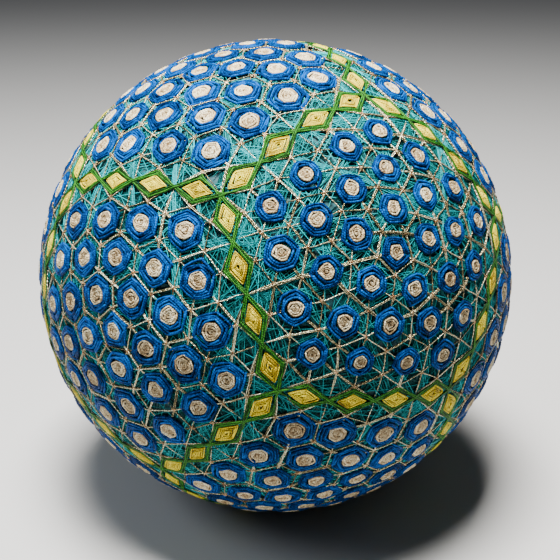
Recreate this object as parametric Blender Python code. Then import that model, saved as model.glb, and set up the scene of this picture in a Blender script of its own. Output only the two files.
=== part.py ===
"""Temari: a ball of wound thread, stitched all over with small hexagons and a net of diamonds.

The ball is divided as such balls are: twelve pentagon centres stand round it, and round each
one lie three rings of points. The twenty corners where three pentagons meet, and three points
along each of the thirty lines between those corners, carry the net of diamonds. Every other
point carries one stitched motif, a raised pad with its corners in the valleys of the marking
threads. The ball has one small flat spot to rest on, with the origin at its middle.
"""
import math

import bmesh
import bpy
from mathutils import Euler, Vector, noise

# Sizes in metres, angles in degrees
BALL_RADIUS = 0.0575
STITCH_HEIGHT = 0.0007
FLAT_RADIUS = 0.012
CENTRE_HEIGHT = math.sqrt(BALL_RADIUS**2 - FLAT_RADIUS**2)
BALL_TURN = (67.0, -6.1, 29.9)

# The wound ball is a little uneven: how far it swells, and how many swells cross it
UNEVEN_HEIGHT = 0.00015
UNEVEN_SCALE = 1.8

# Where the motifs round a pentagon centre lie: angle out from the centre, and angle round it
# from the line to the nearest corner of the pentagon. Each row stands five times.
RINGS = (
    # (out, round)
    (8.82, 0.0),
    (17.47, 0.0),
    (15.16, 36.0),
    (26.99, 0.0),
    (23.55, 22.38),
    (23.55, 49.62),
)
PENTAGON_SIDES = 5
EDGE_STEPS = 4

# A motif's corners stand this many degrees from its middle, and its foot is a little wider. On
# most of the ball motifs nearly fill their cells; round the first pentagon centre they are smaller
MOTIF_CORNER = 4.2
SMALL_MOTIF_CORNER = 3.25
SMALL_FACE = 0
WIDEST_MOTIF_SHARE = 0.86
FOOT_SHARE = 1.09

# A diamond is raised up to this share of the way out to its tips, and the sewn threads that
# cross between two tips stand this share of the stitch height high
DIAMOND_TOP_SHARE = 0.88
CROSSING_LIFT = 0.5

# Neighbouring centres stand about 63 degrees apart, and neighbouring corners about 42
NEIGHBOUR_CENTRES_ANGLE = 70.0
NEIGHBOUR_CORNERS_ANGLE = 45.0
SHARP_ANGLE = 24.0
BALL_COLOUR = (0.03, 0.20, 0.42, 1.0)


def polar(out, around, pole=Vector((0, 0, 1)), start=Vector((1, 0, 0))):
    """The direction that lies an angle out from a pole, turned round it from a start."""
    side = pole.cross(start)
    out, around = math.radians(out), math.radians(around)
    return math.cos(out) * pole + math.sin(out) * (math.cos(around) * start + math.sin(around) * side)


def pentagon_centres():
    """The twelve pentagon centres: one at each pole and two belts of five."""
    belt = math.degrees(math.atan(2.0))
    step = 360 / PENTAGON_SIDES
    upper = [polar(belt, step * (k + 0.5)) for k in range(PENTAGON_SIDES)]
    lower = [polar(180 - belt, step * k) for k in range(PENTAGON_SIDES)]
    return [Vector((0, 0, 1))] + upper + lower + [Vector((0, 0, -1))]


def pentagon_corners(centres):
    """The twenty corners, each in the middle of three neighbouring pentagon centres."""
    corners = []
    near = math.cos(math.radians(NEIGHBOUR_CENTRES_ANGLE))
    for i, a in enumerate(centres):
        for j in range(i + 1, len(centres)):
            for k in range(j + 1, len(centres)):
                b, c = centres[j], centres[k]
                if min(a.dot(b), b.dot(c), c.dot(a)) > near:
                    corners.append((a + b + c).normalized())
    return corners


def motif_points(centres, corners):
    """The middles of the stitched motifs, with the pentagon that each belongs to."""
    points = []
    for face, centre in enumerate(centres):
        nearest = max(corners, key=centre.dot)
        start = (nearest - centre * centre.dot(nearest)).normalized()
        points.append((centre, face))
        for k in range(PENTAGON_SIDES):
            for out, around in RINGS:
                turn = around + 360 * k / PENTAGON_SIDES
                points.append((polar(out, turn, centre, start), face))
    return points


def crossing_points(corners):
    """The points where the tips of the diamonds meet, and the pairs that hold a diamond."""
    points = [corner.copy() for corner in corners]
    near = math.cos(math.radians(NEIGHBOUR_CORNERS_ANGLE))
    pairs = []
    for i, a in enumerate(corners):
        for j in range(i + 1, len(corners)):
            b = corners[j]
            if a.dot(b) < near:
                continue
            line = [i]
            for step in range(1, EDGE_STEPS):
                points.append(a.slerp(b, step / EDGE_STEPS))
                line.append(len(points) - 1)
            line.append(j)
            pairs += list(zip(line, line[1:]))
    return points, pairs


def triangulate(directions):
    """The triangles of neighbouring points, as triples of their numbers."""
    hull = bmesh.new()
    for direction in directions:
        hull.verts.new(direction)
    hull.verts.index_update()
    bmesh.ops.convex_hull(hull, input=hull.verts[:])
    triangles = [tuple(vert.index for vert in face.verts) for face in hull.faces]
    hull.free()
    return triangles


class Relief:
    """The ball's surface as it is built up: points on rays from its centre, and their faces."""

    def __init__(self):
        self.turn = Euler([math.radians(angle) for angle in BALL_TURN], "XYZ").to_matrix()
        self.mesh = bmesh.new()

    def point(self, direction, lift):
        """A vertex at a share of the stitch height above the wound ground."""
        ray = self.turn @ direction.normalized()
        swell = UNEVEN_HEIGHT * noise.noise(ray * UNEVEN_SCALE)
        place = ray * (BALL_RADIUS - STITCH_HEIGHT * (1 - lift) + swell)
        place.z = max(place.z, -CENTRE_HEIGHT)
        return self.mesh.verts.new(place)

    def face(self, *verts):
        """A flat field split into triangles, wound so that it faces out."""
        middle = sum((vert.co for vert in verts), Vector())
        normal = (verts[1].co - verts[0].co).cross(verts[2].co - verts[0].co)
        if normal.dot(middle) < 0:
            verts = tuple(reversed(verts))
        for second, third in zip(verts[1:], verts[2:]):
            self.mesh.faces.new((verts[0], second, third))

    def wall(self, low, high):
        """The slope between two rings of the same number of points."""
        for k, _ in enumerate(low):
            after = (k + 1) % len(low)
            self.face(low[k], low[after], high[after], high[k])


def toward(middle, corner, angle):
    """The direction that lies an angle from a middle, on the way to a corner."""
    across = (corner - middle * middle.dot(corner)).normalized()
    return polar(angle, 0, middle, across)


def raise_motif(relief, middle, corners, valley, angle):
    """A pad with its corners towards the valleys' junctions, and level ground round its foot."""
    cell = math.degrees(sum(middle.angle(corner) for corner in corners) / len(corners))
    angle = min(angle, WIDEST_MOTIF_SHARE * cell)
    foot = [relief.point(toward(middle, corner, angle * FOOT_SHARE), 0) for corner in corners]
    top = [relief.point(toward(middle, corner, angle), 1) for corner in corners]
    relief.wall(valley, foot)
    relief.wall(foot, top)
    relief.face(*top)


def raise_diamond(relief, outline, corners):
    """A diamond between two crossings, with its field raised inside the sewn outline."""
    middle = sum(corners, Vector()).normalized()
    top = [relief.point(middle.slerp(corner, DIAMOND_TOP_SHARE), 1) for corner in corners]
    relief.wall(outline, top)
    relief.face(*top)


def neighbours_in_order(middle, start, numbers, junctions):
    """The junctions round a point, in order of their angle about it."""
    side = middle.cross(start)
    return sorted(numbers, key=lambda n: math.atan2(junctions[n].dot(side), junctions[n].dot(start)))


def build_ball():
    """The whole surface as one closed mesh."""
    centres = pentagon_centres()
    corners = pentagon_corners(centres)
    motifs = motif_points(centres, corners)
    crossings, diamond_pairs = crossing_points(corners)
    points = crossings + [direction for direction, _ in motifs]
    triangles = triangulate(points)
    junctions = [sum((points[n] for n in triangle), Vector()).normalized() for triangle in triangles]

    relief = Relief()
    junction_verts = [relief.point(junction, 0) for junction in junctions]
    crossing_verts = [relief.point(crossing, CROSSING_LIFT) for crossing in crossings]

    around = [[] for _ in points]
    for number, triangle in enumerate(triangles):
        for point in triangle:
            around[point].append(number)
    for point, numbers in enumerate(around):
        start = toward(points[point], junctions[numbers[0]], 90)
        around[point] = neighbours_in_order(points[point], start, numbers, junctions)

    for count, (middle, face) in enumerate(motifs):
        ring = around[len(crossings) + count]
        angle = SMALL_MOTIF_CORNER if face == SMALL_FACE else MOTIF_CORNER
        valley = [junction_verts[n] for n in ring]
        raise_motif(relief, middle, [junctions[n] for n in ring], valley, angle)

    for a, b in diamond_pairs:
        left, right = [n for n in around[a] if n in around[b]]
        outline = [crossing_verts[a], junction_verts[left], crossing_verts[b], junction_verts[right]]
        raise_diamond(relief, outline, [crossings[a], junctions[left], crossings[b], junctions[right]])

    # The ground between a crossing and the valleys, where no diamond covers it
    held = {frozenset(pair) for pair in diamond_pairs}
    for point, vert in enumerate(crossing_verts):
        ring = around[point]
        for k, left in enumerate(ring):
            right = ring[(k + 1) % len(ring)]
            shared = set(triangles[left]) & set(triangles[right])
            if frozenset(shared) not in held:
                relief.face(vert, junction_verts[left], junction_verts[right])
    return relief.mesh


def material(name, colour, roughness):
    """A plain surface in the ball's main colour."""
    made = bpy.data.materials.new(name)
    made.use_nodes = True
    shader = made.node_tree.nodes["Principled BSDF"]
    shader.inputs["Base Color"].default_value = colour
    shader.inputs["Roughness"].default_value = roughness
    return made


def main():
    for old in list(bpy.data.objects):
        bpy.data.objects.remove(old)
    surface = build_ball()
    mesh = bpy.data.meshes.new("ball")
    surface.to_mesh(mesh)
    surface.free()
    mesh.shade_smooth()
    mesh.set_sharp_from_angle(angle=math.radians(SHARP_ANGLE))
    mesh.materials.append(material("stitched thread", BALL_COLOUR, 0.6))
    ball = bpy.data.objects.new("ball", mesh)
    ball.location = (0, 0, CENTRE_HEIGHT)
    bpy.context.scene.collection.objects.link(ball)


main()
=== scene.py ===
import math

import bmesh
import bpy
import numpy as np
from mathutils import Euler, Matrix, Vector


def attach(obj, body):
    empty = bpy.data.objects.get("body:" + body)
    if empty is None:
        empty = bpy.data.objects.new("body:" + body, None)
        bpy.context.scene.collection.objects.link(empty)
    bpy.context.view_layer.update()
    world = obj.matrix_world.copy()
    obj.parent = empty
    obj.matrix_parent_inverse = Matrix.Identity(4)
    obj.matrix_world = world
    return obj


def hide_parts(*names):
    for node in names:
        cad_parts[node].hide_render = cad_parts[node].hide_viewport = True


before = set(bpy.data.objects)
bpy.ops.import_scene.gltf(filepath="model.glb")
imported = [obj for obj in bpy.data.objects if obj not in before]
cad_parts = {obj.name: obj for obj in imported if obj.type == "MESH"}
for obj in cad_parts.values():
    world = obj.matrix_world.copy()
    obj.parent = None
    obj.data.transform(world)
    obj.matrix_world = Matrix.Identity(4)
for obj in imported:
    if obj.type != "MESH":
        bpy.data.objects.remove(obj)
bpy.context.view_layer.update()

rng = np.random.default_rng(36)

# Sizes are in millimetres and angles in degrees, until a mesh is made
MM = 0.001
BALL_RADIUS = 57.5
# The stitching stands this high above the wound ground
STITCH_HEIGHT = 0.7
GROUND = BALL_RADIUS - STITCH_HEIGHT
FLAT_RADIUS = 12.0
CENTRE_HEIGHT = math.sqrt(BALL_RADIUS**2 - FLAT_RADIUS**2)
# How the division is turned on the ball, about X, Y and Z
BALL_TURN = (67.0, -6.1, 29.9)

# The division: how far out from a pentagon centre, and how far round it, a motif lies
RINGS = (
    # (out, round)
    (8.82, 0.0),
    (17.47, 0.0),
    (15.16, 36.0),
    (26.99, 0.0),
    (23.55, 22.38),
    (23.55, 49.62),
)
PENTAGON_SIDES = 5
EDGE_STEPS = 4
# Pentagon centres nearer than this are neighbours, and so are pentagon corners
NEIGHBOUR_CENTRES_ANGLE = 70.0
NEIGHBOUR_CORNERS_ANGLE = 45.0
# The face that has the smaller motifs, and the one at the left of the photograph's view
SMALL_FACE = 0
LEFT_FACE = 3

# How far a hand usually slips at a point of the division, and at a junction
POINT_SLIP = 0.26
JUNCTION_SLIP = 0.14
# A junction beside a diamond is tacked this many times as far out as the diamond's side corner
TACK_REACH = 1.26

# Corner radii of a motif's rounds, on the middles of their threads
BLUE_ROUNDS = (2.46, 3.02, 3.58, 4.14)
SMALL_BLUE_ROUNDS = (2.00, 2.58, 3.16)
IVORY_ROUNDS = (0.25, 0.66, 1.08, 1.50, 1.92)
SMALL_IVORY_ROUNDS = (0.20, 0.62, 1.03, 1.43)
# The motifs of the left face are this share of the others' size
LEFT_FACE_SIZE = 0.93
# How much a motif's size, its corners and its ivory middle's corners stray, as shares of its size
MOTIF_SIZE_STRAY = 0.035
CORNER_STRAY = 0.03
IVORY_CORNER_STRAY = 0.05
MOTIF_TONES = (0.34, 0.62)
# The outermost blue round lies this high above the ground, and each one further in a step higher
BLUE_LIFT = 0.14
BLUE_STEP = 0.08
# The innermost ivory round lies this high, the fourth and fifth higher by the rise
IVORY_LIFT = 0.28
IVORY_RISE = 0.20
# How much darker than its motif the innermost ivory round is, and how much lighter the outermost
# is than that: painted shade in the motif's hollow middle
IVORY_PAINTED_SHADE = -0.16
IVORY_PAINTED_SHADE_RISE = 0.22
# How far stitches bow outwards
BLUE_BOW = 0.22
SMALL_BLUE_BOW = 0.28
IVORY_BOW = 0.10
YELLOW_BOW = 0.07

# Each stitched thread: its width and height, how far a stitch runs on past a corner, how far
# a corner strays, and how far a round is turned on its middle
BLUE_STITCH = {"width": 0.58, "height": 0.44, "overshoot": 0.38, "wobble": 0.14, "twirl": 4.5}
IVORY_STITCH = {"width": 0.48, "height": 0.34, "overshoot": 0.16, "wobble": 0.11, "twirl": 14.0}
YELLOW_STITCH = {"width": 0.30, "height": 0.30, "overshoot": 0.10, "wobble": 0.07, "twirl": 0.0}
# One stitch: the places along it, how far each stands above its round, and how full it is there
STITCH_SHARE = np.array([0.0, 0.14, 0.5, 0.86, 1.0])
STITCH_RISE = np.array([-0.16, -0.01, 0.02, 0.05, -0.12])
STITCH_SWELL = np.array([0.55, 1.0, 1.0, 1.0, 0.55])
# How much of the usual overshoot a stitch has, and the longest one as a share of the stitch
OVERSHOOT_SHARES = (0.6, 1.3)
LONGEST_OVERSHOOT = 0.4
# How a stitch's bow, tone and fullness stray
BOW_STRAY = 0.06
STITCH_TONE_STRAY = 0.30
SWELL_STRAY = 0.06

# A diamond's rounds, as their distance in from the lines between its corners
YELLOW_INSETS = (0.95, 1.22, 1.49, 1.76, 2.03, 2.28)
YELLOW_TONES = (0.3, 0.7)
YELLOW_LIFT = 0.24
YELLOW_STEP = 0.02
GREEN_INSETS = (-0.22, 0.08, 0.38, 0.68)
GREEN_TONES = (0.42, 0.88, 0.28, 0.72)
GREEN_TONE_STRAY = 0.14
GREEN_WIDTH = 0.25
GREEN_HEIGHT = 0.30
GREEN_CROSSING_SPREAD = 0.18
# A green thread runs this far on past its side corner, and strays by this much on its way
GREEN_TAIL = 0.25
GREEN_STRAY = 0.045
# The steps of a green run: in its tail, up to its crossing, beyond it, and in its other tail
GREEN_STEPS = (1, 6, 6, 1)
# Its height above the ground, how deep its ends are tucked in, and the hump over its crossing:
# how wide it is as a share of the half run, how high, and how much higher at the most
GREEN_LIFT = 0.20
GREEN_TUCK = -0.25
GREEN_HUMP_WIDTH = 0.22
GREEN_HUMP = 0.10
GREEN_PILE = 0.16

GOLD_WIDTH = 0.24
GOLD_HEIGHT = 0.24
GOLD_SLIP = 0.12
GOLD_STRAY = 0.05
# The lowest height above the ground, the range over it, and how much higher a third thread lies
GOLD_LIFT = 0.12
GOLD_LIFT_RANGE = 0.14
TREBLED_RISE = 0.08
# The shares of marking lines that are doubled and trebled: on the small face, and elsewhere
GOLD_DOUBLED = (0.58, 0.42)
GOLD_TREBLED = (0.16, 0.05)
# How far doubled and trebled threads lie from the middle of their line
DOUBLED_BESIDE = (0.09, 0.13)
TREBLED_BESIDE = 0.21
# A marking line this near to the small face's middle counts as on that face
SMALL_FACE_REACH = 33.0
# The steps of a marking line up to its first junction, up to the second, and beyond. Its places
# are tucked under the motifs at both ends, and sunk where a diamond covers it
GOLD_STEPS = (3, 5, 3)
GOLD_TUCKED = np.array([-0.30, -0.24, -0.04, 0, 0, 0, 0, 0, 0, -0.04, -0.24, -0.30])
GOLD_SUNK = np.array([0, 0, 0, 0, -0.35, -0.35, -0.35, -0.35, 0, 0, 0, 0])

# The tacks over each junction
TACKS = 3
TACK_WIDTH = 0.24
TACK_HEIGHT = 0.18
TACK_LENGTH = 1.15
TACK_LENGTH_SHARES = (0.7, 1.2)
TACK_SLIP = 0.10
TACK_STRAY = 0.05
TACK_LIFTS = np.array([0.02, 0.36, 0.36, 0.02])

# The wrapping thread: bundles of nearly parallel turns round the whole ball
# The deeper a layer lies, the darker its tones: painted shade under the layers above
WRAP_LAYERS = (
    # (name, bundles, turns in a bundle, lowest and highest lift, lowest and highest tone)
    ("wrap_deep", 50, 6, (-0.50, -0.34), (0.0, 0.20)),
    ("wrap_middle", 66, 6, (-0.30, -0.14), (0.10, 0.50)),
    ("wrap_top", 78, 5, (-0.08, 0.10), (0.50, 0.95)),
    ("wrap_strays", 180, 1, (0.06, 0.18), (0.40, 1.00)),
)
WRAP_WIDTH = 0.20
WRAP_HEIGHT = 0.13
WRAP_STEPS = 60
WRAP_SPACING = 0.50
WRAP_SPACING_SHARES = (0.8, 1.6)
WRAP_STRAY = 0.10
# How far single turns stray from their bundle's lift and tone
TURN_LIFTS = (-0.07, 0.05)
TURN_TONES = (-0.35, 0.30)
# The wound core lies this far under the ground
CORE_DEPTH = 0.55
CORE_SUBDIVISIONS = 6
CORE_RELIEF = 0.2
# What lies within these reaches is hidden: a share of a motif's radius, and a diamond's middle
HIDDEN_SHARE = 0.80
HIDDEN_DIAMOND = 1.5

# A strand's section reaches this far to each side of its top
HALF_ROUND = 88.0
PLY_PITCH = 0.5
PLY_RELIEF = 0.12
# Each strand is taken from anywhere on a thread with this many turns of its ply
THREAD_TURNS = 300
# A strand's cell in the baked picture is this many times its width, and this share of the cell
# stays free along each side
CELL_ROOM = 1.3
CELL_GAP = 0.06
CELL_HALVINGS = 40


def unit(vectors):
    """Vectors brought to a length of one."""
    return vectors / np.linalg.norm(vectors, axis=-1, keepdims=True)


def polar(out, around, pole, start):
    """The direction that lies an angle out from a pole, turned round it from a start."""
    side = np.cross(pole, start)
    out, around = math.radians(out), math.radians(around)
    heading = math.cos(around) * start + math.sin(around) * side
    return math.cos(out) * pole + math.sin(out) * heading


def square_to(direction, wanted):
    """A unit vector square to a direction, as near as can be to a wanted one."""
    return unit(wanted - direction * np.sum(direction * wanted, axis=-1, keepdims=True))


def slerp(a, b, share):
    """The direction that lies a share of the way round from one to another."""
    angle = math.acos(float(a @ b))
    return (math.sin((1 - share) * angle) * a + math.sin(share * angle) * b) / math.sin(angle)


def strayed(directions, slip):
    """Directions with the slips, in millimetres, of a hand that marks and sews by eye."""
    return unit(directions + rng.normal(0, slip / BALL_RADIUS, directions.shape))


class Division:
    """The points, junctions and diamonds that the marking threads divide the ball into."""

    def __init__(self):
        centres = self.pentagon_centres()
        corners = self.pentagon_corners(centres)
        motifs, self.face = self.motif_points(centres, corners)
        crossings, pairs = self.crossing_points(corners)
        turn = np.array(Euler([math.radians(a) for a in BALL_TURN], "XYZ").to_matrix())
        self.first_motif = len(crossings)
        self.points = strayed(np.array(crossings + motifs) @ turn.T, POINT_SLIP)
        self.triangles = self.triangulate(self.points)
        self.junctions = unit(self.points[self.triangles].sum(axis=1))
        self.around = self.junctions_around()
        self.diamonds = [self.diamond(a, b) for a, b in pairs]
        self.junctions = strayed(self.junctions, JUNCTION_SLIP)
        self.side_corners = self.junctions.copy()
        for a, left, b, right in self.diamonds:
            middle = unit(self.points[a] + self.points[b])
            for corner in (left, right):
                out = self.junctions[corner] - middle
                self.junctions[corner] = unit(middle + out * TACK_REACH)

    def pentagon_centres(self):
        """The corners of an icosahedron, where the pentagons have their centres."""
        pole, start = np.array([0, 0, 1.0]), np.array([1.0, 0, 0])
        belt = math.degrees(math.atan(2.0))
        step = 360 / PENTAGON_SIDES
        upper = [polar(belt, step * (k + 0.5), pole, start) for k in range(PENTAGON_SIDES)]
        lower = [polar(180 - belt, step * k, pole, start) for k in range(PENTAGON_SIDES)]
        return [pole] + upper + lower + [-pole]

    def pentagon_corners(self, centres):
        """The places where three pentagons meet."""
        near = math.cos(math.radians(NEIGHBOUR_CENTRES_ANGLE))
        corners = []
        for i, a in enumerate(centres):
            for j in range(i + 1, len(centres)):
                for k in range(j + 1, len(centres)):
                    b, c = centres[j], centres[k]
                    if min(a @ b, b @ c, c @ a) > near:
                        corners.append(unit(a + b + c))
        return corners

    def motif_points(self, centres, corners):
        """The middle of every motif, and the face that each is on."""
        points, faces = [], []
        for face, centre in enumerate(centres):
            start = square_to(centre, max(corners, key=lambda corner: centre @ corner))
            points.append(centre)
            for k in range(PENTAGON_SIDES):
                for out, around in RINGS:
                    points.append(polar(out, around + 360 * k / PENTAGON_SIDES, centre, start))
            faces += [face] * (len(points) - len(faces))
        return points, np.array(faces)

    def crossing_points(self, corners):
        """The crossings along the pentagons' edges, and the pairs that a diamond lies between."""
        near = math.cos(math.radians(NEIGHBOUR_CORNERS_ANGLE))
        points, pairs = list(corners), []
        for i, a in enumerate(corners):
            for j in range(i + 1, len(corners)):
                if a @ corners[j] < near:
                    continue
                line = [i]
                for step in range(1, EDGE_STEPS):
                    points.append(slerp(a, corners[j], step / EDGE_STEPS))
                    line.append(len(points) - 1)
                line.append(j)
                pairs += list(zip(line, line[1:]))
        return points, pairs

    def triangulate(self, points):
        """The triangles between neighbouring points, as the hull of them all gives them."""
        hull = bmesh.new()
        for point in points:
            hull.verts.new(point)
        hull.verts.index_update()
        bmesh.ops.convex_hull(hull, input=hull.verts[:])
        triangles = [[vert.index for vert in face.verts] for face in hull.faces]
        hull.free()
        return np.array(triangles)

    def junctions_around(self):
        """For each point, the junctions round it in order."""
        around = [[] for _ in self.points]
        for number, triangle in enumerate(self.triangles):
            for point in triangle:
                around[point].append(number)
        place = self.junctions
        for point, numbers in enumerate(around):
            middle = self.points[point]
            start = square_to(middle, place[numbers[0]])
            side = np.cross(middle, start)
            turn = {n: math.atan2(place[n] @ side, place[n] @ start) for n in numbers}
            around[point] = sorted(numbers, key=turn.get)
        return around

    def diamond(self, a, b):
        """The diamond between two crossings: one, a side corner, the other, a side corner."""
        left, right = [n for n in self.around[a] if n in self.around[b]]
        return a, left, b, right


ball = Division()
junctions = ball.junctions


def press(points):
    """Points once the ball has settled on its flat spot, where deeper layers stay higher."""
    depth = np.maximum(BALL_RADIUS - np.linalg.norm(points, axis=-1), 0)
    points[..., 2] = np.maximum(points[..., 2], depth - CENTRE_HEIGHT)
    return points


class Plane:
    """Flat working planes that touch the ball, one for each of many middles."""

    def __init__(self, middles, starts):
        self.middle = middles
        self.x = square_to(middles, starts)
        self.y = np.cross(middles, self.x)

    def flat(self, directions):
        """Directions (planes, points, 3) as flat places (planes, points, 2)."""
        depth = np.einsum("mkc,mc->mk", directions, self.middle)
        x = np.einsum("mkc,mc->mk", directions, self.x) / depth
        y = np.einsum("mkc,mc->mk", directions, self.y) / depth
        return np.stack([x, y], axis=-1) * BALL_RADIUS

    def round(self, places, lift):
        """Flat places (planes, ..., 2) laid on the ball at a lift above the ground."""
        shape = (len(self.middle),) + (1,) * (places.ndim - 2) + (3,)
        middle, x, y = (v.reshape(shape) for v in (self.middle, self.x, self.y))
        directions = unit(middle * BALL_RADIUS + x * places[..., :1] + y * places[..., 1:])
        return directions * (GROUND + np.asarray(lift))[..., None]


class Threads:
    """Many strands gathered into one piece: half-round runs of thread that lie on the ball."""

    def __init__(self, strips=3):
        self.strips = strips
        self.batches = []
        self.size = 0

    def lay(self, paths, width, height, tone, swell=1.0, tangents=None):
        """Strands along paths (strands, steps, 3), with a tone from 0 to 1 for each strand."""
        strands, steps, _ = paths.shape
        along = np.gradient(paths, axis=1) if tangents is None else tangents
        side = unit(np.cross(along, unit(paths)))
        up = unit(np.cross(side, along))
        angle = np.radians(np.linspace(-HALF_ROUND, HALF_ROUND, self.strips + 1))
        swell = np.broadcast_to(swell, (strands, steps))
        width = np.broadcast_to(np.asarray(width).reshape(-1, 1), (strands, steps)) * swell
        height = np.broadcast_to(np.asarray(height).reshape(-1, 1), (strands, steps)) * swell
        reach = width[..., None] / 2 * np.sin(angle)
        rise = height[..., None] * np.cos(angle)
        verts = paths[:, :, None] + side[:, :, None] * reach[..., None]
        verts = verts + up[:, :, None] * rise[..., None]

        step = np.linalg.norm(np.diff(paths, axis=1), axis=-1)
        length = np.concatenate([np.zeros((strands, 1)), np.cumsum(step, axis=1)], axis=1)
        turns = length / PLY_PITCH + rng.uniform(0, THREAD_TURNS, (strands, 1))
        across = np.linspace(0, 1, self.strips + 1)
        thread_uv = np.stack(np.broadcast_arrays(turns[..., None], across), axis=-1)
        share = length / length[:, -1:]
        cell_uv = np.stack(np.broadcast_arrays(share[..., None], across), axis=-1)
        self.batches.append({
            "verts": verts,
            "tone": np.broadcast_to(np.asarray(tone).reshape(-1, 1, 1), verts.shape[:3]),
            "thread_uv": thread_uv,
            "cell_uv": cell_uv,
            "cell": (float(length[:, -1].mean()), float(np.mean(width) * CELL_ROOM)),
        })

    def quads(self, strands, steps, first):
        """The faces of equal strands, as the numbers of their points from a first one on."""
        across = self.strips + 1
        number = first + np.arange(strands * steps * across).reshape(strands, steps, across)
        corners = (number[:, :-1, :-1], number[:, :-1, 1:], number[:, 1:, 1:], number[:, 1:, :-1])
        return np.stack(corners, axis=-1).reshape(-1, 4)

    def bake_places(self):
        """Each strand's own cell of the unit square, at one scale for the whole piece."""
        def shelves(scale):
            """How high the cells pile up at a scale, and where each batch begins."""
            top, found = 0.0, []
            for batch in self.batches:
                long, wide = (side * scale for side in batch["cell"])
                columns = max(int(1 / long), 1)
                rows = -(-len(batch["verts"]) // columns)
                found.append((columns, min(long, 1.0), wide, top))
                top += rows * wide
            return top, found

        low, high = 1e-6, 1.0
        for _ in range(CELL_HALVINGS):
            middle = (low + high) / 2
            low, high = (middle, high) if shelves(middle)[0] <= 1 else (low, middle)
        placed = []
        for batch, (columns, long, wide, top) in zip(self.batches, shelves(low)[1]):
            number = np.arange(len(batch["verts"]))
            corner = np.stack([number % columns * long, top + number // columns * wide], axis=-1)
            inside = CELL_GAP + batch["cell_uv"] * (1 - 2 * CELL_GAP)
            placed.append(corner[:, None, None] + inside * (long, wide))
        return placed

    def finish(self, name, material):
        """Make one piece of the gathered strands, which rides on the ball."""
        verts, quads, first = [], [], 0
        for batch in self.batches:
            strands, steps = batch["verts"].shape[:2]
            quads.append(self.quads(strands, steps, first))
            verts.append(batch["verts"].reshape(-1, 3))
            first += len(verts[-1])
        quads = np.concatenate(quads)
        maps = {
            "OFBake": np.concatenate([place.reshape(-1, 2) for place in self.bake_places()]),
            "thread": np.concatenate([batch["thread_uv"].reshape(-1, 2) for batch in self.batches]),
        }
        tone = np.concatenate([batch["tone"].ravel() for batch in self.batches])
        make_piece(name, np.concatenate(verts), quads, material, maps, tone)


def make_piece(name, verts, faces, material, maps=None, tone=None):
    """A smooth mesh object from points round the ball's centre, in millimetres."""
    placed = (press(verts) + (0, 0, CENTRE_HEIGHT)) * MM
    mesh = bpy.data.meshes.new(name)
    mesh.from_pydata(placed.tolist(), [], faces.tolist())
    for title, places in (maps or {}).items():
        layer = mesh.uv_layers.new(name=title)
        layer.data.foreach_set("uv", places[faces.ravel()].ravel().astype(np.float32))
    if tone is not None:
        tones = mesh.attributes.new("tone", "FLOAT", "POINT")
        tones.data.foreach_set("value", tone.astype(np.float32))
    mesh.shade_smooth()
    mesh.materials.append(material)
    piece = bpy.data.objects.new(name, mesh)
    bpy.context.scene.collection.objects.link(piece)
    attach(piece, "root")
    return piece


# Shader nodes

def put(tree, kind, inputs=None, **settings):
    """A new node, with its inputs given as values or as the sockets that feed them."""
    made = tree.nodes.new(kind)
    for name, value in settings.items():
        setattr(made, name, value)
    for name, value in (inputs or {}).items():
        if isinstance(value, bpy.types.NodeSocket):
            tree.links.new(value, made.inputs[name])
        else:
            made.inputs[name].default_value = value
    return made


def maths(tree, operation, a, b=0.0):
    return put(tree, "ShaderNodeMath", {0: a, 1: b}, operation=operation).outputs[0]


def remap(tree, value, low, high, to_low, to_high):
    made = put(tree, "ShaderNodeMapRange", {0: value, 1: low, 2: high, 3: to_low, 4: to_high})
    return made.outputs[0]


def blend_colours(tree, share, a, b):
    return put(tree, "ShaderNodeMix", {0: share, 6: a, 7: b}, data_type="RGBA").outputs[2]


def new_group(name, inputs, outputs):
    """An empty shader node group with its named sockets, and its two ends."""
    tree = bpy.data.node_groups.new(name, "ShaderNodeTree")
    for title, kind, value in inputs:
        socket = tree.interface.new_socket(title, in_out="INPUT", socket_type="NodeSocket" + kind)
        if value is not None:
            socket.default_value = value
    for title, kind in outputs:
        tree.interface.new_socket(title, in_out="OUTPUT", socket_type="NodeSocket" + kind)
    return tree, put(tree, "NodeGroupInput"), put(tree, "NodeGroupOutput")


def twisted_ply_group():
    """Two plies twisted together: their height, and painted shade masks for the groove and edges."""
    tree, into, out = new_group(
        "Twisted ply",
        [
            ("Place", "Vector", None), ("Rate", "Float", 1.0),
            ("Slant", "Float", 0.5), ("Wander", "Float", 0.25),
        ],
        [("Height", "Float"), ("Groove shade", "Float"), ("Edge shade", "Float")],
    )
    split = put(tree, "ShaderNodeSeparateXYZ", {0: into.outputs["Place"]})
    around = maths(tree, "MULTIPLY", split.outputs[1], into.outputs["Slant"])
    drift = put(tree, "ShaderNodeTexNoise", {"Vector": into.outputs["Place"], "Scale": 0.9})
    wander = maths(tree, "MULTIPLY", drift.outputs[0], into.outputs["Wander"])
    along = maths(tree, "MULTIPLY", split.outputs[0], into.outputs["Rate"])
    turn = maths(tree, "ADD", maths(tree, "ADD", along, around), wander)
    wave = maths(tree, "SINE", maths(tree, "MULTIPLY", turn, 2 * math.pi))
    height = remap(tree, wave, -1.0, 1.0, 0.0, 1.0)
    # Painted shade: this mask darkens the groove between the plies
    groove_shade_mask = maths(tree, "POWER", maths(tree, "SUBTRACT", 1.0, height), 2.0)
    # Painted shade: this mask darkens the strand towards both its edges
    off_middle = maths(tree, "ABSOLUTE", remap(tree, split.outputs[1], 0.0, 1.0, -1.0, 1.0))
    tree.links.new(height, out.inputs["Height"])
    tree.links.new(groove_shade_mask, out.inputs["Groove shade"])
    tree.links.new(remap(tree, off_middle, 0.25, 0.95, 0.0, 1.0), out.inputs["Edge shade"])
    return tree


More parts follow.
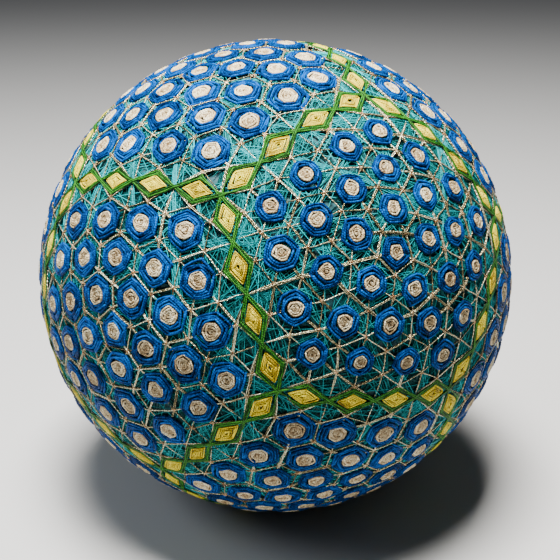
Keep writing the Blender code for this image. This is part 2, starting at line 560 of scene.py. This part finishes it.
def fibre_group():
    """Fine fibres that run along a thread, with lighter and darker stretches."""
    tree, into, out = new_group(
        "Fibres",
        [("Place", "Vector", None), ("Fineness", "Float", 5.0)],
        [("Streak", "Float"), ("Stretch", "Float")],
    )
    place = into.outputs["Place"]
    stretch = put(tree, "ShaderNodeVectorMath", {0: place, 1: (0.25, 1.2, 1.0)}, operation="MULTIPLY")
    streak = put(tree, "ShaderNodeTexNoise", {
        "Vector": stretch.outputs[0], "Scale": into.outputs["Fineness"],
        "Detail": 3.0, "Roughness": 0.7,
    })
    patches = put(tree, "ShaderNodeTexNoise", {"Vector": place, "Scale": 0.3, "Detail": 2.0})
    tree.links.new(streak.outputs[0], out.inputs["Streak"])
    tree.links.new(patches.outputs[0], out.inputs["Stretch"])
    return tree


def thread_colour_group():
    """A thread's colour from its three shades, by its tone and fibres, with painted shade in grooves
    and edges.
    """
    tree, into, out = new_group(
        "Thread colour",
        [
            ("Dark", "Color", None), ("Body", "Color", None), ("Light", "Color", None),
            ("Tone", "Float", 0.5), ("Streak", "Float", 0.5), ("Streaking", "Float", 0.25),
            ("Stretch", "Float", 0.5), ("Drift", "Float", 0.25), ("Groove shade", "Float", 0.0),
            ("Groove shading", "Float", 0.4), ("Edge shade", "Float", 0.0),
        ],
        [("Colour", "Color"), ("Roughness", "Float")],
    )
    fibres = remap(tree, into.outputs["Streak"], 0.3, 0.7, -1.0, 1.0)
    stretches = remap(tree, into.outputs["Stretch"], 0.3, 0.7, -1.0, 1.0)
    uneven = maths(tree, "MULTIPLY", fibres, into.outputs["Streaking"])
    drift = maths(tree, "MULTIPLY", stretches, into.outputs["Drift"])
    place = maths(tree, "ADD", into.outputs["Tone"], maths(tree, "ADD", uneven, drift))
    dark = into.outputs["Dark"]
    lower = blend_colours(tree, remap(tree, place, 0.0, 0.5, 0.0, 1.0), dark, into.outputs["Body"])
    whole = blend_colours(tree, remap(tree, place, 0.5, 1.0, 0.0, 1.0), lower, into.outputs["Light"])
    # Painted shade in the grooves and along the edges, mixed towards the dark shade
    groove_shade_share = maths(tree, "MULTIPLY", into.outputs["Groove shade"], into.outputs["Groove shading"])
    shaded = blend_colours(tree, groove_shade_share, whole, dark)
    edge_shaded = blend_colours(tree, into.outputs["Edge shade"], shaded, dark)
    rough = remap(tree, into.outputs["Streak"], 0.3, 0.7, 0.38, 0.62)
    tree.links.new(edge_shaded, out.inputs["Colour"])
    tree.links.new(rough, out.inputs["Roughness"])
    return tree


TWISTED_PLY = twisted_ply_group()
FIBRES = fibre_group()
THREAD_COLOUR = thread_colour_group()


def thread_material(name, shades, rate=1.0, groove_shading=0.6, streaking=0.25, drift=0.25,
                    tint=(1, 1, 1), metallic=0.0, bump=0.8, specular=0.5, gloss=0.05):
    """Twisted thread in three shades of one colour: dark, body and light."""
    # The grooves between the plies and the strand's edges are darkened with painted shade
    dark, body, light = ((*shade, 1) for shade in shades)
    material = bpy.data.materials.new(name)
    material.use_nodes = True
    tree = material.node_tree
    shader = tree.nodes["Principled BSDF"]
    place = put(tree, "ShaderNodeUVMap", uv_map="thread").outputs[0]
    tone = put(tree, "ShaderNodeAttribute", attribute_name="tone").outputs["Fac"]
    ply = put(tree, "ShaderNodeGroup", {"Place": place, "Rate": rate}, node_tree=TWISTED_PLY)
    fibres = put(tree, "ShaderNodeGroup", {"Place": place}, node_tree=FIBRES)
    colour = put(tree, "ShaderNodeGroup", {
        "Dark": dark, "Body": body, "Light": light, "Tone": tone,
        "Streak": fibres.outputs["Streak"], "Streaking": streaking,
        "Stretch": fibres.outputs["Stretch"], "Drift": drift,
        "Groove shade": ply.outputs["Groove shade"], "Groove shading": groove_shading, "Edge shade": ply.outputs["Edge shade"],
    }, node_tree=THREAD_COLOUR)
    roughness = maths(tree, "SUBTRACT", colour.outputs["Roughness"], gloss)
    height = maths(tree, "ADD", ply.outputs["Height"], fibres.outputs["Streak"])
    relief = put(tree, "ShaderNodeBump", {
        "Height": height, "Strength": bump, "Distance": PLY_RELIEF * MM,
    })
    tree.links.new(colour.outputs["Colour"], shader.inputs["Base Color"])
    tree.links.new(roughness, shader.inputs["Roughness"])
    tree.links.new(relief.outputs[0], shader.inputs["Normal"])
    shader.inputs["Metallic"].default_value = metallic
    shader.inputs["Specular IOR Level"].default_value = specular
    shader.inputs["Specular Tint"].default_value = (*tint, 1)
    return material


def ground_material():
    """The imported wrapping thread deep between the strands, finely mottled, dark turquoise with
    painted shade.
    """
    material = bpy.data.materials.new("deep wrapping thread in painted shade")
    material.use_nodes = True
    tree = material.node_tree
    shader = tree.nodes["Principled BSDF"]
    place = put(tree, "ShaderNodeTexCoord").outputs["Object"]
    noise = put(tree, "ShaderNodeTexNoise", {"Vector": place, "Scale": 1400.0, "Detail": 4.0})
    patches = put(tree, "ShaderNodeTexNoise", {"Vector": place, "Scale": 120.0, "Detail": 2.0})
    # Painted shade: near-black turquoise for thread that the strands over it keep in shadow
    deep = blend_colours(tree, noise.outputs[0], (0.001, 0.018, 0.024, 1), (0.004, 0.10, 0.12, 1))
    greener = remap(tree, patches.outputs[0], 0.35, 0.65, 0.0, 0.5)
    colour = blend_colours(tree, greener, deep, (0.0, 0.05, 0.05, 1))
    relief = put(tree, "ShaderNodeBump", {
        "Height": noise.outputs[0], "Strength": 0.5, "Distance": CORE_RELIEF * MM,
    })
    tree.links.new(colour, shader.inputs["Base Color"])
    tree.links.new(remap(tree, noise.outputs[0], 0.3, 0.7, 0.6, 0.9), shader.inputs["Roughness"])
    tree.links.new(relief.outputs[0], shader.inputs["Normal"])
    return material


# The wound ground

def wind_core():
    """The ball under its top layers of wrapping thread. It stands for the solid ball."""
    shape = bmesh.new()
    bmesh.ops.create_icosphere(shape, subdivisions=CORE_SUBDIVISIONS, radius=GROUND - CORE_DEPTH)
    verts = np.array([vert.co[:] for vert in shape.verts])
    faces = np.array([[vert.index for vert in face.verts] for face in shape.faces])
    shape.free()
    core = make_piece("wound_core", verts, faces, ground_material())
    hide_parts("ball")


def hidden_ground(directions):
    """Which directions lie well under a motif or a diamond's yellow field."""
    motif_middles = ball.points[ball.first_motif:]
    small = ball.face == SMALL_FACE
    covered = np.where(small, SMALL_BLUE_ROUNDS[-1], BLUE_ROUNDS[-1]) * HIDDEN_SHARE
    between = np.array([ball.points[a] + ball.points[b] for a, _, b, _ in ball.diamonds])
    middles = np.concatenate([motif_middles, unit(between)])
    reach = np.concatenate([covered, np.full(len(between), HIDDEN_DIAMOND)]) / BALL_RADIUS
    limit = np.cos(reach)
    # In batches, to spare memory
    batches = np.array_split(directions, 40)
    return np.concatenate([(batch @ middles.T > limit).any(axis=1) for batch in batches])


def wind_wraps(name, bundles, turns, lift_range, tone_range, material):
    """Bundles of turns round the whole ball, laid wherever no stitching covers them."""
    threads = Threads(strips=2)
    axes = unit(rng.normal(size=(bundles, 3)))
    lean = square_to(axes, rng.normal(size=(bundles, 3)))
    spacing = WRAP_SPACING * rng.uniform(*WRAP_SPACING_SHARES, (bundles, 1, 1)) / BALL_RADIUS
    fan = lean[:, None] * spacing * (np.arange(turns) - (turns - 1) / 2)[:, None]
    stray = rng.normal(0, WRAP_STRAY / BALL_RADIUS, (bundles, turns, 3))
    poles = unit(axes[:, None] + fan + stray).reshape(-1, 3)
    start = square_to(poles, rng.normal(size=poles.shape))
    side = np.cross(poles, start)
    angle = np.linspace(0, 2 * math.pi, WRAP_STEPS + 1)[None, :, None]
    angle = angle + rng.random((len(poles), 1, 1))
    circle = np.cos(angle) * start[:, None] + np.sin(angle) * side[:, None]
    heading = np.cos(angle) * side[:, None] - np.sin(angle) * start[:, None]
    bundle_lift = rng.uniform(*lift_range, (bundles, 1))
    lift = (bundle_lift + rng.uniform(*TURN_LIFTS, (bundles, turns))).reshape(-1)
    # The layer's tone range darkens the deeper layers with painted shade
    bundle_tone = rng.uniform(*tone_range, (bundles, 1))
    tone = (bundle_tone + rng.uniform(*TURN_TONES, (bundles, turns))).reshape(-1)
    paths = circle * (GROUND + lift)[:, None, None]

    pieces = np.stack([paths[:, :-1], paths[:, 1:]], axis=2).reshape(-1, 2, 3)
    headings = np.stack([heading[:, :-1], heading[:, 1:]], axis=2).reshape(-1, 2, 3)
    shown = ~hidden_ground(unit(pieces.mean(axis=1)))
    tones = np.clip(np.repeat(tone, WRAP_STEPS), 0, 1)[shown]
    threads.lay(pieces[shown], WRAP_WIDTH, WRAP_HEIGHT, tones, tangents=headings[shown])
    threads.finish(name, material)


# The marking threads

def along_arcs(stops, steps):
    """Points along the arcs through stops (strands, stops, 3), evenly spaced between each two."""
    parts = []
    for k, count in enumerate(steps):
        share = np.linspace(0, 1, count, endpoint=False)[None, :, None]
        parts.append(stops[:, k, None] * (1 - share) + stops[:, k + 1, None] * share)
    parts.append(stops[:, -1:])
    return unit(np.concatenate(parts, axis=1))


def marking_lines():
    """Every marking line, from one point through two junctions to the point beyond them, and
    whether a diamond covers it between the junctions."""
    sides = {}
    for number, triangle in enumerate(ball.triangles):
        for k in range(3):
            pair = frozenset((triangle[k], triangle[(k + 1) % 3]))
            sides.setdefault(pair, []).append((number, triangle[(k + 2) % 3]))
    lines = [(a[1], a[0], b[0], b[1]) for a, b in sides.values()]
    stops = []
    for start, first, second, end in lines:
        reach = []
        for point, junction in ((start, first), (end, second)):
            if point < ball.first_motif:
                reach.append(ball.points[point])
                continue
            small = ball.face[point - ball.first_motif] == SMALL_FACE
            hidden = (SMALL_BLUE_ROUNDS if small else BLUE_ROUNDS)[-1] * HIDDEN_SHARE
            toward = square_to(ball.points[point], junctions[junction])
            reach.append(unit(ball.points[point] * BALL_RADIUS + toward * hidden))
        stops.append((reach[0], junctions[first], junctions[second], reach[1]))
    crossed = {frozenset((left, right)) for _, left, _, right in ball.diamonds}
    covered = [frozenset((first, second)) in crossed for _, first, second, _ in lines]
    return np.array(stops), np.array(covered)


def lay_gold(material):
    """The marking threads, some of them doubled or trebled."""
    threads = Threads()
    lines, covered = marking_lines()
    lines = strayed(lines, GOLD_SLIP)
    small_centre = ball.points[ball.first_motif + np.argmax(ball.face == SMALL_FACE)]
    nearness = unit(lines[:, 1] + lines[:, 2]) @ small_centre
    near_small = nearness > math.cos(math.radians(SMALL_FACE_REACH))
    draw = rng.random(len(lines))
    doubled = draw < np.where(near_small, *GOLD_DOUBLED)
    trebled = draw < np.where(near_small, *GOLD_TREBLED)
    beside = np.where(doubled, rng.uniform(*DOUBLED_BESIDE, len(lines)), 0)
    beside = np.where(trebled, TREBLED_BESIDE, beside)
    for which, sign in ((draw >= 0, 1), (doubled, -1), (trebled, 0)):
        arcs = along_arcs(lines[which], GOLD_STEPS)
        side = unit(np.cross(np.gradient(arcs, axis=1), arcs))
        stray = rng.normal(0, GOLD_STRAY, arcs.shape[:2])
        shift = (sign * beside[which, None] + stray) / BALL_RADIUS
        lift = GOLD_LIFT + rng.uniform(0, GOLD_LIFT_RANGE, (len(arcs), 1)) + TREBLED_RISE * (sign == 0)
        lift = lift + GOLD_TUCKED + covered[which, None] * GOLD_SUNK
        paths = unit(arcs + side * shift[..., None]) * (GROUND + lift)[..., None]
        threads.lay(paths, GOLD_WIDTH, GOLD_HEIGHT, rng.random(len(arcs)))
    threads.finish("marking_threads", material)


def lay_tacks(material):
    """Short stitches that tack the marking threads down where they cross."""
    threads = Threads(strips=2)
    directions = strayed(np.repeat(junctions, TACKS, axis=0), TACK_SLIP)
    plane = Plane(directions, unit(rng.normal(size=directions.shape)))
    share = np.linspace(-0.5, 0.5, len(TACK_LIFTS))
    length = TACK_LENGTH * rng.uniform(*TACK_LENGTH_SHARES, (len(directions), 1))
    aside = rng.normal(0, TACK_STRAY, (len(directions), 1))
    places = np.stack(np.broadcast_arrays(share * length, aside), axis=-1)
    paths = plane.round(places, TACK_LIFTS)
    threads.lay(paths, TACK_WIDTH, TACK_HEIGHT, rng.random(len(paths)))
    threads.finish("marking_tacks", material)


# The stitched motifs and diamonds

def sew_round(threads, plane, corners, stitch, lift, bow, tone):
    """One round of straight stitches, each over the start of the next at its corner."""
    count, sides, _ = corners.shape
    angle = np.radians(rng.normal(0, stitch["twirl"], (count, 1)))
    x, y = corners[..., 0], corners[..., 1]
    turned_x = x * np.cos(angle) - y * np.sin(angle)
    turned_y = x * np.sin(angle) + y * np.cos(angle)
    corners = np.stack([turned_x, turned_y], axis=-1)
    corners = corners + rng.normal(0, stitch["wobble"], corners.shape)
    run = np.roll(corners, -1, axis=1) - corners
    length = np.linalg.norm(run, axis=-1, keepdims=True)
    run = run / length
    away = np.stack([run[..., 1], -run[..., 0]], axis=-1)
    overshoot = stitch["overshoot"] * rng.uniform(*OVERSHOOT_SHARES, length.shape)
    reach = np.minimum(overshoot, length * LONGEST_OVERSHOOT)
    along = (STITCH_SHARE * (length + 2 * reach) - reach)[..., None]
    bend = bow + rng.normal(0, BOW_STRAY, length.shape)
    out = (4 * STITCH_SHARE * (1 - STITCH_SHARE) * bend)[..., None]
    places = corners[:, :, None] + run[:, :, None] * along + away[:, :, None] * out
    lifts = np.broadcast_to(lift + STITCH_RISE, places.shape[:3])
    paths = plane.round(places, lifts).reshape(count * sides, len(STITCH_SHARE), 3)
    shade = rng.uniform(-STITCH_TONE_STRAY, STITCH_TONE_STRAY, (count, sides))
    tones = np.clip(tone[:, None] + shade, 0, 1).ravel()
    swell = STITCH_SWELL * rng.normal(1, SWELL_STRAY, paths.shape[:2])
    threads.lay(paths, stitch["width"], stitch["height"], tones, swell=swell)


def sew_motifs(which, small, blue, ivory):
    """Ivory rounds in the middle and blue ones round them, for motifs of one kind."""
    if small:
        blue_radii, ivory_radii, bow = SMALL_BLUE_ROUNDS, SMALL_IVORY_ROUNDS, SMALL_BLUE_BOW
    else:
        blue_radii, ivory_radii, bow = BLUE_ROUNDS, IVORY_ROUNDS, BLUE_BOW
    rings = np.array([ball.around[ball.first_motif + n] for n in which])
    plane = Plane(ball.points[ball.first_motif + which], junctions[rings[:, 0]])
    corners = plane.flat(junctions[rings])
    corners = corners / np.linalg.norm(corners, axis=-1, keepdims=True)
    face_size = np.where(ball.face[which] == LEFT_FACE, LEFT_FACE_SIZE, 1.0)[:, None, None]
    size = rng.normal(1.0, MOTIF_SIZE_STRAY, (len(which), 1, 1)) * face_size
    shape = corners * size * (1 + rng.normal(0, CORNER_STRAY, (*rings.shape, 1)))
    ivory_shape = shape * (1 + rng.normal(0, IVORY_CORNER_STRAY, (*rings.shape, 1)))
    tone = rng.uniform(*MOTIF_TONES, len(which))
    for number, radius in enumerate(blue_radii):
        lift = BLUE_LIFT + BLUE_STEP * (len(blue_radii) - 1 - number)
        sew_round(blue, plane, shape * radius, BLUE_STITCH, lift, bow, tone)
    for number, radius in enumerate(ivory_radii):
        # The middle is a little hollow, and darker with painted shade
        lift = IVORY_LIFT + IVORY_RISE * min(number / 3, 1)
        shade = tone + IVORY_PAINTED_SHADE + IVORY_PAINTED_SHADE_RISE * number / (len(ivory_radii) - 1)
        sew_round(ivory, plane, ivory_shape * radius, IVORY_STITCH, lift, IVORY_BOW, shade)


def sew_all_motifs(blue_material, ivory_material):
    """The motifs. Their blue rounds are two pieces, above the ball's middle and below it."""
    small = ball.face == SMALL_FACE
    height = ball.points[ball.first_motif:, 2]
    ring_size = np.array([len(ring) for ring in ball.around[ball.first_motif:]])
    ivory = Threads(strips=2)
    for part, upper in (("upper", True), ("lower", False)):
        blue = Threads()
        for sides in (PENTAGON_SIDES, PENTAGON_SIDES + 1):
            here = (ring_size == sides) & ((height > 0) == upper)
            for kind in (True, False):
                which = np.flatnonzero(here & (small == kind))
                if len(which):
                    sew_motifs(which, kind, blue, ivory)
        blue.finish("blue_rounds_" + part, blue_material)
    ivory.finish("ivory_rounds", ivory_material)


def diamond_plane():
    """Working planes on the diamonds, with their four corners: tip, side, tip, side."""
    corners = np.array([
        (ball.points[a], ball.side_corners[left], ball.points[b], ball.side_corners[right])
        for a, left, b, right in ball.diamonds
    ])
    plane = Plane(unit(corners.sum(axis=1)), corners[:, 0])
    return plane, plane.flat(corners)


def inset(corners, distance):
    """Corners (diamonds, 4, 2) moved in, so that the sides lie a distance further in."""
    middle = corners.mean(axis=1, keepdims=True)
    side = np.roll(corners, -1, axis=1) - corners
    inward = middle - corners
    across = np.abs(side[..., 0] * inward[..., 1] - side[..., 1] * inward[..., 0])
    inner = (across / np.linalg.norm(side, axis=-1)).mean(axis=1)[:, None, None]
    return middle + (corners - middle) * (1 - distance / inner)


def sew_yellow(material):
    """The straw yellow rounds that fill each diamond."""
    threads = Threads()
    plane, corners = diamond_plane()
    tone = rng.uniform(*YELLOW_TONES, len(corners))
    for number, distance in enumerate(YELLOW_INSETS):
        lift = YELLOW_LIFT + YELLOW_STEP * number
        sew_round(threads, plane, inset(corners, distance), YELLOW_STITCH, lift, YELLOW_BOW, tone)
    threads.finish("yellow_diamonds", material)


def green_runs():
    """Each green run: a side corner, the crossing after it, the side corner beyond, and the
    middles of the two diamonds that it passes."""
    middle_of = {}
    for a, left, b, right in ball.diamonds:
        middle = unit(ball.points[a] + ball.points[b])
        for crossing in (a, b):
            for corner in (left, right):
                middle_of[crossing, corner] = middle
    runs = []
    for crossing in range(ball.first_motif):
        ring = ball.around[crossing]
        half = len(ring) // 2
        for k in range(half):
            first, second = ring[k], ring[k + half]
            if (crossing, first) in middle_of and (crossing, second) in middle_of:
                runs.append((
                    ball.side_corners[first], ball.points[crossing], ball.side_corners[second],
                    middle_of[crossing, first], middle_of[crossing, second],
                ))
    return np.array(runs)


def sew_green(material):
    """The green outlines, run from side corner to side corner and crossing at the tips."""
    threads = Threads()
    runs = green_runs()
    first, crossing, second, first_middle, second_middle = (runs[:, k] for k in range(5))
    heading = unit(second - first)
    left = np.cross(crossing, heading)
    inward_first = np.sign(np.sum(left * (first_middle - crossing), axis=-1))
    inward_second = np.sign(np.sum(left * (second_middle - crossing), axis=-1))
    thread_count = len(GREEN_INSETS)
    pile = rng.uniform(0, GREEN_PILE, len(runs))
    for number in range(thread_count):
        here, there = GREEN_INSETS[number], GREEN_INSETS[thread_count - 1 - number]
        spread = (number - (thread_count - 1) / 2) * GREEN_CROSSING_SPREAD
        near = first + left * (inward_first * here / BALL_RADIUS)[:, None]
        middle = crossing + left * (inward_first * spread / BALL_RADIUS)[:, None]
        far = second + left * (inward_second * there / BALL_RADIUS)[:, None]
        begin = near - heading * GREEN_TAIL / BALL_RADIUS
        end = far + heading * GREEN_TAIL / BALL_RADIUS
        stops = unit(np.stack([begin, near, middle, far, end], axis=1))
        arcs = strayed(along_arcs(stops, GREEN_STEPS), GREEN_STRAY)
        # The run is tucked in at both ends, and climbs over what it crosses in the middle
        share = np.linspace(-1, 1, arcs.shape[1])
        hump = np.exp(-(share / GREEN_HUMP_WIDTH) ** 2)
        ends = np.where(np.abs(share) > 0.99, GREEN_TUCK, 0.0)
        lift = GREEN_LIFT + ends + hump * (GREEN_HUMP + pile[:, None])
        paths = arcs * (GROUND + lift)[..., None]
        tones = np.clip(rng.normal(GREEN_TONES[number], GREEN_TONE_STRAY, len(arcs)), 0, 1)
        threads.lay(paths, GREEN_WIDTH, GREEN_HEIGHT, tones)
    threads.finish("green_outlines", material)


# Camera, lights and floor

CAMERA_ELEVATION = 20.0
# In ball radii: how far the ball's middle lies ahead of the lens, and right of and below its axis
CAMERA_DISTANCE = 4.546
CAMERA_OFF_AXIS = (-0.01935, -0.01913)
CAMERA_LENS = 67.3
# Half the side of the floor, in metres
FLOOR_REACH = 8.0


def place_camera():
    """A camera with the photograph's view of the ball."""
    lift = math.radians(CAMERA_ELEVATION)
    right = Vector((1, 0, 0))
    down = Vector((0, -math.sin(lift), -math.cos(lift)))
    ahead = Vector((0, math.cos(lift), -math.sin(lift)))
    offset = right * CAMERA_OFF_AXIS[0] + down * CAMERA_OFF_AXIS[1] + ahead * CAMERA_DISTANCE
    middle = Vector((0, 0, CENTRE_HEIGHT))
    data = bpy.data.cameras.new("camera")
    data.lens = CAMERA_LENS
    data.clip_start = 0.01
    camera = bpy.data.objects.new("camera", data)
    camera.location = (middle - offset * BALL_RADIUS) * MM
    camera.rotation_euler = (math.radians(90 - CAMERA_ELEVATION), 0, 0)
    bpy.context.scene.collection.objects.link(camera)
    bpy.context.scene.camera = camera


def add_light(name, azimuth, elevation, distance, size, power, colour):
    """A square soft light, in metres and watts, that looks at the ball's middle. Its azimuth runs
    round from the camera's side."""
    data = bpy.data.lights.new(name, "AREA")
    data.size = size
    data.energy = power
    data.color = colour
    light = bpy.data.objects.new(name, data)
    turn, lift = math.radians(azimuth), math.radians(elevation)
    level = Vector((math.sin(turn), -math.cos(turn), 0)) * math.cos(lift)
    away = level + Vector((0, 0, math.sin(lift)))
    light.location = away * distance + Vector((0, 0, CENTRE_HEIGHT * MM))
    light.rotation_euler = away.to_track_quat("Z", "Y").to_euler()
    bpy.context.scene.collection.objects.link(light)


def light_and_floor():
    """A dim sky, one soft light over the ball, a weaker one at its left, and a pale floor."""
    world = bpy.data.worlds.new("studio")
    world.use_nodes = True
    backdrop = world.node_tree.nodes["Background"]
    backdrop.inputs["Color"].default_value = (0.80, 0.86, 1.0, 1)
    backdrop.inputs["Strength"].default_value = 0.06
    bpy.context.scene.world = world
    add_light("key", azimuth=-22, elevation=81, distance=0.55,
              size=0.20, power=18.5, colour=(1.0, 0.98, 0.95))
    add_light("left_fill", azimuth=-78, elevation=40, distance=1.1,
              size=0.5, power=5.0, colour=(0.82, 0.91, 1.0))

    mesh = bpy.data.meshes.new("floor")
    signs = ((-1, -1), (1, -1), (1, 1), (-1, 1))
    mesh.from_pydata([(x * FLOOR_REACH, y * FLOOR_REACH, 0) for x, y in signs], [], [(0, 1, 2, 3)])
    paper = bpy.data.materials.new("floor paper")
    paper.use_nodes = True
    shader = paper.node_tree.nodes["Principled BSDF"]
    shader.inputs["Base Color"].default_value = (0.43, 0.427, 0.42, 1)
    shader.inputs["Roughness"].default_value = 0.9
    mesh.materials.append(paper)
    floor = bpy.data.objects.new("floor", mesh)
    bpy.context.scene.collection.objects.link(floor)


place_camera()
light_and_floor()

turquoise = thread_material(
    "turquoise wrapping thread",
    ((0.0, 0.010, 0.010), (0.002, 0.126, 0.118), (0.01, 0.46, 0.51)),
    groove_shading=0.25, streaking=0.12, drift=0.2, bump=0.3, tint=(0.2, 0.9, 1.0), specular=0.1,
)
blue_cotton = thread_material(
    "blue cotton",
    ((0.0, 0.005, 0.026), (0.0, 0.034, 0.166), (0.0, 0.106, 0.43)),
    groove_shading=0.25, streaking=0.6, drift=0.4, bump=0.5, tint=(0.0, 0.40, 1.0), specular=0.08,
)
ivory_cotton = thread_material(
    "ivory cotton",
    ((0.17, 0.10, 0.04), (0.63, 0.51, 0.29), (0.98, 0.94, 0.69)),
    groove_shading=0.5, bump=0.6, specular=0.3,
)
yellow_cotton = thread_material(
    "straw yellow cotton",
    ((0.19, 0.12, 0.0), (0.82, 0.65, 0.03), (1.0, 0.90, 0.05)),
    groove_shading=0.5, bump=0.6, tint=(1.0, 0.95, 0.6), specular=0.15,
)
green_cotton = thread_material(
    "leaf green cotton",
    ((0.0, 0.006, 0.001), (0.002, 0.044, 0.005), (0.05, 0.30, 0.022)),
    groove_shading=0.35, streaking=0.6, drift=0.35, bump=0.5, tint=(0.7, 1.0, 0.5), specular=0.15,
)
# The strong streaking and drift up to a near-white light shade paint glints and dark stretches along
# the gold, beside its real metallic reflection
gold_thread = thread_material(
    "gold marking thread",
    ((0.035, 0.021, 0.005), (0.47, 0.40, 0.16), (0.97, 0.99, 0.73)),
    groove_shading=0.6, streaking=1.1, drift=0.4, bump=0.8, metallic=0.6, gloss=0.28, rate=0.6,
)
copper_tack = thread_material(
    "copper tacks",
    ((0.05, 0.016, 0.004), (0.50, 0.20, 0.055), (1.0, 0.66, 0.34)),
    streaking=0.6, drift=0.4, metallic=0.6, gloss=0.15,
)

wind_core()
for layer in WRAP_LAYERS:
    wind_wraps(*layer, turquoise)
lay_gold(gold_thread)
lay_tacks(copper_tack)
sew_all_motifs(blue_cotton, ivory_cotton)
sew_yellow(yellow_cotton)
sew_green(green_cotton)
